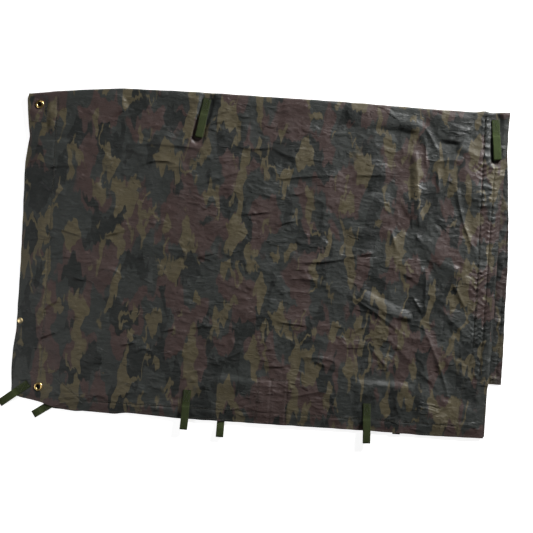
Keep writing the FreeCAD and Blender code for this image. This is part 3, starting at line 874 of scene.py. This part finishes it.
def beside(route, offset):
    """A route shifted sideways."""
    route = np.asarray(route, float)
    heading = np.gradient(route, axis=0)
    heading /= np.linalg.norm(heading, axis=1)[:, None]
    return route + np.stack([-heading[:, 1], heading[:, 0]], axis=-1) * offset


def fine(route, step=12):
    """A route with points close enough together to follow an uneven edge."""
    return smooth_route(route, step)[0]


# Stitches: pitch and thickness of thread.
HEM_STITCH = (4.2, 0.55)
TACK_STITCH = (2.4, 0.8)
TAPE_STITCH = (3.0, 0.7)


def hem_line(outline, inset, places):
    """A line of stitches beside an outline: (place along it, where the line is)."""
    return [(place, along_outline(outline, np.array(float(place))) + inset) for place in places]


def upper_lines():
    """The upper leaf's stitching: seams, hems and two patches."""
    lines = []
    for route, offsets in ((LEFT_SEAM, (0, 2.6)), (BAND_SEAM, (0, 3.0)), (BAND_STITCH, (0,)),
                           (BOTTOM_SEAM, (0, 2.6)), (BRACE_SEAM, (-3.2, 3.2))):
        lines += [(beside(fine(route), offset), UPPER) for offset in offsets]
    lines.append((hem_line(BOTTOM_OUTLINE, 4.5, range(-420, 620, 20)), UPPER))
    for outline, inset, heights in ((RIGHT_OUTLINE, -5, range(-415, 420, 20)),
                                    (LEFT_OUTLINE, 5, range(-350, 325, 20))):
        lines.append(([(x, y) for y, x in hem_line(outline, inset, heights)], UPPER))
    low, high = CENTRE_PATCH
    foot = low[1] + 4
    for inset in (2.5, 5.5):
        left, right, top = low[0] + inset, high[0] - inset, high[1] - inset
        lines.append(([(left, foot), (left, top), (right, top), (right, foot)], over_upper))
    lines.append(([(PATCH_LINE, foot), (PATCH_LINE, high[1] - 6)], over_upper))
    low, high = TOP_PATCH
    foot, right = low[1] + 3, high[0] - 3
    lines.append(([(low[0] + 4, foot), (right, foot), (right, high[1] - 14)], over_upper))
    return [(route, face_of, *HEM_STITCH) for route, face_of in lines]


def lower_lines():
    """The lower leaf's stitching: hems, the flap and its tack."""
    low, high = node_box("lower_left_hem")
    lines = [([(high[0] - 3, low[1]), (high[0] - 3, high[1] - 14)], over_lower)]
    low, high = node_box("lower_bottom_hem")
    lines.append(([(low[0] + 4, high[1] - 3), (high[0] - 4, high[1] - 3)], over_lower))
    low, high = node_box("side_flap")
    for inset in (4, 9):
        lines.append(([(low[0] + inset, low[1] + 3), (low[0] + inset, high[1] - 12)], flap_height))
    lines.append(([(650, 420), (653, 60), (651, -262)], flap_height))
    tack = [(636 + 26 * (k % 2), -262 - 1.6 * k) for k in range(11)]
    return [(route, face_of, *HEM_STITCH) for route, face_of in lines] + [(tack, flap_height, *TACK_STITCH)]


def box_lines(start, end, plan, level):
    """Box stitching with a cross on the sewn end of a tape."""
    inset = TAPE_WIDTH / 2 - 3
    near, far = start + 3, end - 3
    box = [plan(near, -inset), plan(far, -inset), plan(far, inset), plan(near, inset), plan(near, -inset)]
    routes = [box, [box[0], box[2]], [box[3], box[1]]]
    return [(route, constant(level), *TAPE_STITCH) for route in routes]


def make_stitching():
    """All thread: hems, patches, the flap's tack and the loops' boxes."""
    stitch_mesh("stitching_upper_leaf", upper_lines(), "upper_leaf", THREAD)
    stitch_mesh("stitching_lower_leaf", lower_lines(), "lower_leaf", THREAD)
    _, high = FLAT_LOOP
    between = box_lines(0, 34, lambda along, across: (FLAT_LOOP_X + across, high[1] - along), high[2])
    for body, loops, more in (("upper_leaf", UPPER_LOOPS, []), ("lower_leaf", LOWER_LOOPS, between)):
        lines = []
        for loop in loops:
            lines += box_lines(loop.start, -SEWN_GAP, loop.plan, loop.face + 2 * TAPE_PLY)
        piece = stitch_mesh(f"loop_stitching_{body}", lines + more, body, DARK_THREAD)


# ---- Materials ----


def new_material(name, **sockets):
    """A material with its shader's plain values set, its node tree and its shader."""
    material = bpy.data.materials.new(name)
    material.use_nodes = True
    tree = material.node_tree
    shader = tree.nodes["Principled BSDF"]
    for socket, value in sockets.items():
        shader.inputs[socket.replace("_", " ")].default_value = value
    return material, tree, shader


def add_node(tree, kind, inputs=None, **settings):
    """Add a shader node. inputs maps a socket to a value or to another node's output."""
    node = tree.nodes.new(kind)
    for key, value in settings.items():
        setattr(node, key, value)
    for key, value in (inputs or {}).items():
        socket = node.inputs[key]
        if isinstance(value, bpy.types.NodeSocket):
            tree.links.new(value, socket)
        else:
            socket.default_value = value
    return node


def flat_place(tree, scale=(1, 1, 1), offset=(0, 0, 0)):
    """The piece's own flat coordinates, scaled and shifted."""
    uv = add_node(tree, "ShaderNodeUVMap", uv_map="flat").outputs["UV"]
    mapped = add_node(tree, "ShaderNodeMapping", {"Vector": uv, "Location": offset, "Scale": scale})
    return mapped.outputs["Vector"]


def add_noise(tree, vector, scale, detail=2.0, roughness=0.5, distortion=0.0):
    """A noise texture's value."""
    node = add_node(tree, "ShaderNodeTexNoise", {
        "Vector": vector, "Scale": scale, "Detail": detail, "Roughness": roughness, "Distortion": distortion,
    })
    return node.outputs["Fac"]


def add_math(tree, operation, first, second=0.0):
    """A math node's value."""
    return add_node(tree, "ShaderNodeMath", {0: first, 1: second}, operation=operation).outputs[0]


def add_swing(tree, vector, scale, detail, amount):
    """A noise about zero, times an amount."""
    centred = add_math(tree, "SUBTRACT", add_noise(tree, vector, scale, detail), 0.5)
    return add_math(tree, "MULTIPLY", centred, amount)


def add_ramp(tree, value, low, high, first=0.0, last=1.0):
    """The value first below low, last above high and an even climb between."""
    return add_node(tree, "ShaderNodeMapRange", {
        "Value": value, "From Min": low, "From Max": high, "To Min": first, "To Max": last,
    }).outputs[0]


def add_bump(tree, shader, strength, distance, height):
    """Bump a shader's normal by a height."""
    bump = add_node(tree, "ShaderNodeBump", {"Strength": strength, "Distance": distance, "Height": height})
    tree.links.new(bump.outputs[0], shader.inputs["Normal"])


def add_mix(tree, factor, first, second):
    """Mix two colours."""
    node = add_node(tree, "ShaderNodeMix", {"Factor": factor, 6: first, 7: second}, data_type="RGBA")
    return node.outputs[2]


def brushed(tree, offset):
    """Flat coordinates pulled up and down in narrow strokes, as the print's brush marks are."""
    place = flat_place(tree, offset=offset)
    fine_pull = add_swing(tree, flat_place(tree, (95, 14, 1), offset), 1.0, 1.0, 0.060)
    broad_pull = add_swing(tree, flat_place(tree, (34, 12, 1), offset), 1.0, 1.0, 0.11)
    pull = add_math(tree, "ADD", fine_pull, broad_pull)
    sway = add_swing(tree, place, 16.0, 2.0, 0.045)
    shift = add_node(tree, "ShaderNodeCombineXYZ", {"X": sway, "Y": pull})
    return add_node(tree, "ShaderNodeVectorMath", {0: place, 1: shift.outputs[0]}, operation="ADD").outputs[0]


def print_layer(tree, offset, width, height, threshold, detail=1.5):
    """Where one colour of the print lies: shapes about width by height, in metres."""
    place = brushed(tree, offset)
    sized = add_node(tree, "ShaderNodeMapping", {"Vector": place, "Scale": (0.5 / width, 0.5 / height, 1)})
    value = add_noise(tree, sized.outputs[0], 1.0, detail, 0.45)
    return add_ramp(tree, value, threshold - 0.008, threshold + 0.008)


def camo_colour(tree, green, brown, tan, black):
    """The four-colour print."""
    colour = add_mix(tree, print_layer(tree, (3.1, 1.7, 0), 0.042, 0.072, 0.505), green, brown)
    colour = add_mix(tree, print_layer(tree, (11.3, 2.9, 0), 0.034, 0.058, 0.570), colour, black)
    blobs = print_layer(tree, (7.7, 5.2, 0), 0.022, 0.052, 0.580)
    ridge = add_node(tree, "ShaderNodeMapping", {"Vector": brushed(tree, (1.9, 8.4, 0)), "Scale": (17, 8, 1)})
    centred = add_math(tree, "SUBTRACT", add_noise(tree, ridge.outputs[0], 1.0, 1.0), 0.5)
    thin = add_ramp(tree, add_math(tree, "ABSOLUTE", centred), 0.030, 0.020)
    branches = add_math(tree, "MULTIPLY", thin, print_layer(tree, (5.5, 9.1, 0), 0.040, 0.080, 0.56))
    return add_mix(tree, add_math(tree, "MAXIMUM", blobs, branches), colour, tan)


def nylon_bump(tree, shader, amount):
    """Creases too fine to model: short ledges that face away from the ridge, crinkles and the grain."""
    down = add_node(tree, "ShaderNodeSeparateXYZ", {0: flat_place(tree, (1, -26, 1))}).outputs["Y"]
    bend = add_math(tree, "MULTIPLY", add_noise(tree, flat_place(tree, (7, 16, 1)), 1.0, 3.0, 0.55, 0.4), 9.0)
    ledge = add_math(tree, "FRACT", add_math(tree, "ADD", down, bend))
    broken = add_ramp(tree, add_noise(tree, flat_place(tree, (13, 24, 1), (5, 1, 0)), 1.0, 2.0), 0.54, 0.62)
    ledges = add_math(tree, "MULTIPLY", ledge, broken)

    sway = add_node(tree, "ShaderNodeTexNoise", {"Vector": flat_place(tree), "Scale": 22.0, "Detail": 2.0})
    swayed = add_node(tree, "ShaderNodeVectorMath", {
        0: flat_place(tree, (24, 30, 1)), 1: sway.outputs["Color"],
    }, operation="ADD").outputs[0]
    cells = add_node(tree, "ShaderNodeTexVoronoi", {"Vector": swayed, "Scale": 1.0}, voronoi_dimensions="2D",
                     feature="DISTANCE_TO_EDGE").outputs["Distance"]
    pinched = add_math(tree, "ABSOLUTE", add_math(
        tree, "SUBTRACT", add_noise(tree, flat_place(tree, (60, 130, 1)), 1.0, 4.0, 0.65, 0.6), 0.5))
    grain = add_noise(tree, flat_place(tree, (2200, 2200, 1)), 1.0, 1.0)

    height = 0.0
    for part, metres in ((ledges, 0.0016), (cells, 0.0012), (pinched, 0.0018), (grain, 0.00004)):
        height = add_math(tree, "ADD", add_math(tree, "MULTIPLY", part, metres * amount), height)
    add_bump(tree, shader, 1.0, 1.0, height)


def make_print(name, colours, roughness, bump):
    """Coated nylon with its camouflage print."""
    material, tree, shader = new_material(name, Specular_IOR_Level=0.36)
    colour = camo_colour(tree, *colours)
    faded = add_noise(tree, flat_place(tree), 40.0, 5.0, 0.65)
    worn = add_mix(tree, add_ramp(tree, faded, 0.47, 3.2), colour, (0.12, 0.115, 0.11, 1))
    tree.links.new(worn, shader.inputs["Base Color"])
    patchy = add_noise(tree, flat_place(tree, offset=(4, 4, 0)), 22.0, 3.0, 0.6)
    rough = add_ramp(tree, patchy, 0.3, 0.7, roughness - 0.06, roughness + 0.08)
    tree.links.new(rough, shader.inputs["Roughness"])
    nylon_bump(tree, shader, bump)
    return material


def make_webbing(name, dark, light):
    """Woven tape: ribs across, rows of yarn along and paler high threads."""
    material, tree, shader = new_material(name, Roughness=0.82, Specular_IOR_Level=0.3)
    ribs = add_node(tree, "ShaderNodeTexWave", {
        "Vector": flat_place(tree), "Scale": 130.0, "Distortion": 1.4, "Detail": 1.0, "Detail Scale": 3.0,
    }, wave_type="BANDS", bands_direction="X")
    rows = add_node(tree, "ShaderNodeTexWave", {
        "Vector": flat_place(tree), "Scale": 260.0, "Distortion": 0.6,
    }, wave_type="BANDS", bands_direction="Y")
    weave = add_math(tree, "MULTIPLY", ribs.outputs["Fac"], rows.outputs["Fac"])
    patchy = add_noise(tree, flat_place(tree), 60.0, 3.0, 0.6)
    woven, worn = add_math(tree, "MULTIPLY", weave, 0.55), add_math(tree, "MULTIPLY", patchy, 0.5)
    tone = add_math(tree, "ADD", woven, worn)
    tree.links.new(add_mix(tree, tone, dark, light), shader.inputs["Base Color"])
    add_bump(tree, shader, 0.7, 0.0006, weave)
    return material


def make_thread(name, colour):
    """Twisted sewing thread."""
    material, tree, shader = new_material(name, Roughness=0.6, Sheen_Weight=0.2)
    place = add_node(tree, "ShaderNodeTexCoord").outputs["Object"]
    twist = add_noise(tree, place, 900.0, 2.0)
    darker = tuple(part * 0.45 for part in colour[:3]) + (1,)
    tree.links.new(add_mix(tree, twist, darker, colour), shader.inputs["Base Color"])
    return material


def make_brass(name, bright, dull, smoothest, roughest):
    """Pressed brass with dull and darker patches."""
    material, tree, shader = new_material(name, Metallic=1.0)
    place = add_node(tree, "ShaderNodeTexCoord").outputs["Object"]
    patchy = add_noise(tree, place, 260.0, 4.0, 0.6)
    colour = add_mix(tree, add_ramp(tree, patchy, 0.35, 0.75), bright, dull)
    tree.links.new(colour, shader.inputs["Base Color"])
    rough = add_ramp(tree, patchy, 0.0, 1.0, smoothest, roughest)
    tree.links.new(rough, shader.inputs["Roughness"])
    add_bump(tree, shader, 0.12, 0.0002, add_noise(tree, place, 1500.0, 2.0))
    return material


def shaded(colours, share):
    """The same colours, darker, as painted shade."""
    return tuple(tuple(part * share for part in colour[:3]) + (1,) for colour in colours)


GREEN = (0.025, 0.028, 0.026, 1)
BROWN = (0.047, 0.030, 0.027, 1)
TAN = (0.072, 0.060, 0.034, 1)
BLACK = (0.012, 0.014, 0.013, 1)
PRINT_COLOURS = (GREEN, BROWN, TAN, BLACK)
COATING_GREY = (0.034, 0.036, 0.032, 1)
COATING_COLOURS = tuple(tuple(0.55 * part + 0.45 * grey for part, grey in zip(colour, COATING_GREY))
                        for colour in PRINT_COLOURS)

PRINT = make_print("camo_nylon_printed", PRINT_COLOURS, 0.49, 1.0)
COATING = make_print("camo_nylon_coated", COATING_COLOURS, 0.42, 0.8)
PATCH = make_print("camo_nylon_patch", (BROWN, BROWN, BROWN, BLACK), 0.49, 1.0)
# The flap's print is a quarter darker: painted shade where it lies below the upper leaf's edge.
SHADED_FLAP_PRINT = make_print("camo_nylon_flap_painted_shade", shaded(PRINT_COLOURS, 0.75), 0.52, 1.0)
WEBBING = make_webbing("olive_webbing", (0.008, 0.013, 0.002, 1), (0.044, 0.062, 0.012, 1))
# A lighter copy of the webbing: painted light on the loop nearest the key light.
PAINTED_LIGHT_WEBBING = make_webbing("olive_webbing_painted_light", (0.012, 0.020, 0.004, 1), (0.060, 0.092, 0.019, 1))
THREAD = make_thread("hem_thread", (0.055, 0.052, 0.034, 1))
DARK_THREAD = make_thread("loop_thread", (0.010, 0.014, 0.008, 1))
BRASS = make_brass("brass_hardware", (0.86, 0.62, 0.24, 1), (0.52, 0.33, 0.11, 1), 0.16, 0.42)
# The press stud's paler brass is painted reflection, standing in for the bright glint on its dome.
REFLECTION_STUD_BRASS = make_brass("brass_stud_painted_reflection", (0.95, 0.78, 0.45, 1), (0.72, 0.55, 0.28, 1), 0.30, 0.55)
# Dark brass for upright walls: painted shade inside the eyelets' holes and round the rims.
WALL_SHADE_BRASS = make_brass("brass_painted_wall_shade", (0.10, 0.07, 0.03, 1), (0.04, 0.03, 0.015, 1), 0.50, 0.75)


def dress(piece, *materials):
    """Give a piece its materials."""
    for material in materials:
        piece.data.materials.append(material)
    "webbing" if "webbing" in materials[0].name else "camo_nylon"


# ---- Room, light and camera ----


def make_floor():
    """A plain white floor that gives off light of its own, so that shadows stay pale."""
    mesh = bpy.data.meshes.new("floor")
    reach = 200.0
    corners = [(-reach, -reach, 0), (reach, -reach, 0), (reach, reach, 0), (-reach, reach, 0)]
    mesh.from_pydata(corners, [], [(0, 1, 2, 3)])
    floor = bpy.data.objects.new("floor", mesh)
    bpy.context.scene.collection.objects.link(floor)
    material, *_ = new_material("lit_floor", Roughness=0.9, Specular_IOR_Level=0.1, Emission_Strength=0.85,
                                Base_Color=(0.6, 0.6, 0.6, 1), Emission_Color=(1, 1, 1, 1))
    mesh.materials.append(material)


def add_light(name, place, target, size, power):
    """A square soft light that faces a target."""
    data = bpy.data.lights.new(name, "AREA")
    data.shape = "SQUARE"
    data.size = size
    data.energy = power
    light = bpy.data.objects.new(name, data)
    light.location = place
    light.rotation_euler = (Vector(target) - Vector(place)).to_track_quat("-Z", "Y").to_euler()
    bpy.context.scene.collection.objects.link(light)


def make_lights():
    """A strong soft light from behind on the right, a weak one from the left and a dim even surround."""
    add_light("key_light", (2.7, 2.9, 1.5), (0.0, 0.0, 0), 0.75, 385)
    add_light("fill_light", (-1.7, -0.6, 1.3), (-0.3, -0.1, 0), 0.9, 11)
    world = bpy.data.worlds.new("pale_room")
    world.use_nodes = True
    background = world.node_tree.nodes["Background"]
    background.inputs["Color"].default_value = (1, 1, 1, 1)
    background.inputs["Strength"].default_value = 0.03
    bpy.context.scene.world = world
    bpy.context.scene.view_settings.view_transform = "Standard"


def make_camera():
    """Straight above, a little off the middle and turned so that the cover lies askew."""
    view_width, lens, sensor = 1.412, 70.0, 36.0
    data = bpy.data.cameras.new("camera")
    data.lens = lens
    data.sensor_width = sensor
    data.clip_end = 500
    camera = bpy.data.objects.new("camera", data)
    camera.location = (0.0233, -0.0103, view_width * lens / sensor)
    camera.rotation_euler = (0, 0, math.radians(4.0))
    bpy.context.scene.collection.objects.link(camera)
    bpy.context.scene.camera = camera


# Upright walls of the hardware get the dark brass as painted shade.
UPRIGHT = 0.2                         # a face whose normal rises less than this is an upright wall
LOOP_SLACK = (1.0, 0.6, 0.2, 0.8, 0.5, 0.3, 0.4)


def dress_hardware():
    """Brass on the eyelets and the press stud, and a dark brass on their upright walls as painted shade."""
    for name, node in frame["nodes"].items():
        if name.startswith(("eyelet", "snap")):
            node.data.materials.clear()
            for material in (REFLECTION_STUD_BRASS if name.startswith("snap") else BRASS, WALL_SHADE_BRASS):
                node.data.materials.append(material)
            for face in node.data.polygons:
                face.material_index = int(abs(face.normal.z) < UPRIGHT)


UPPER = settle_upper(upper_relief())
LOWER = lower_relief()
make_cover()
make_strips()
for one_loop, loop_slack in zip(LOOPS, LOOP_SLACK):
    make_loop(one_loop, loop_slack)
make_flat_loop()
make_stitching()
dress_hardware()
make_floor()
make_lights()
make_camera()
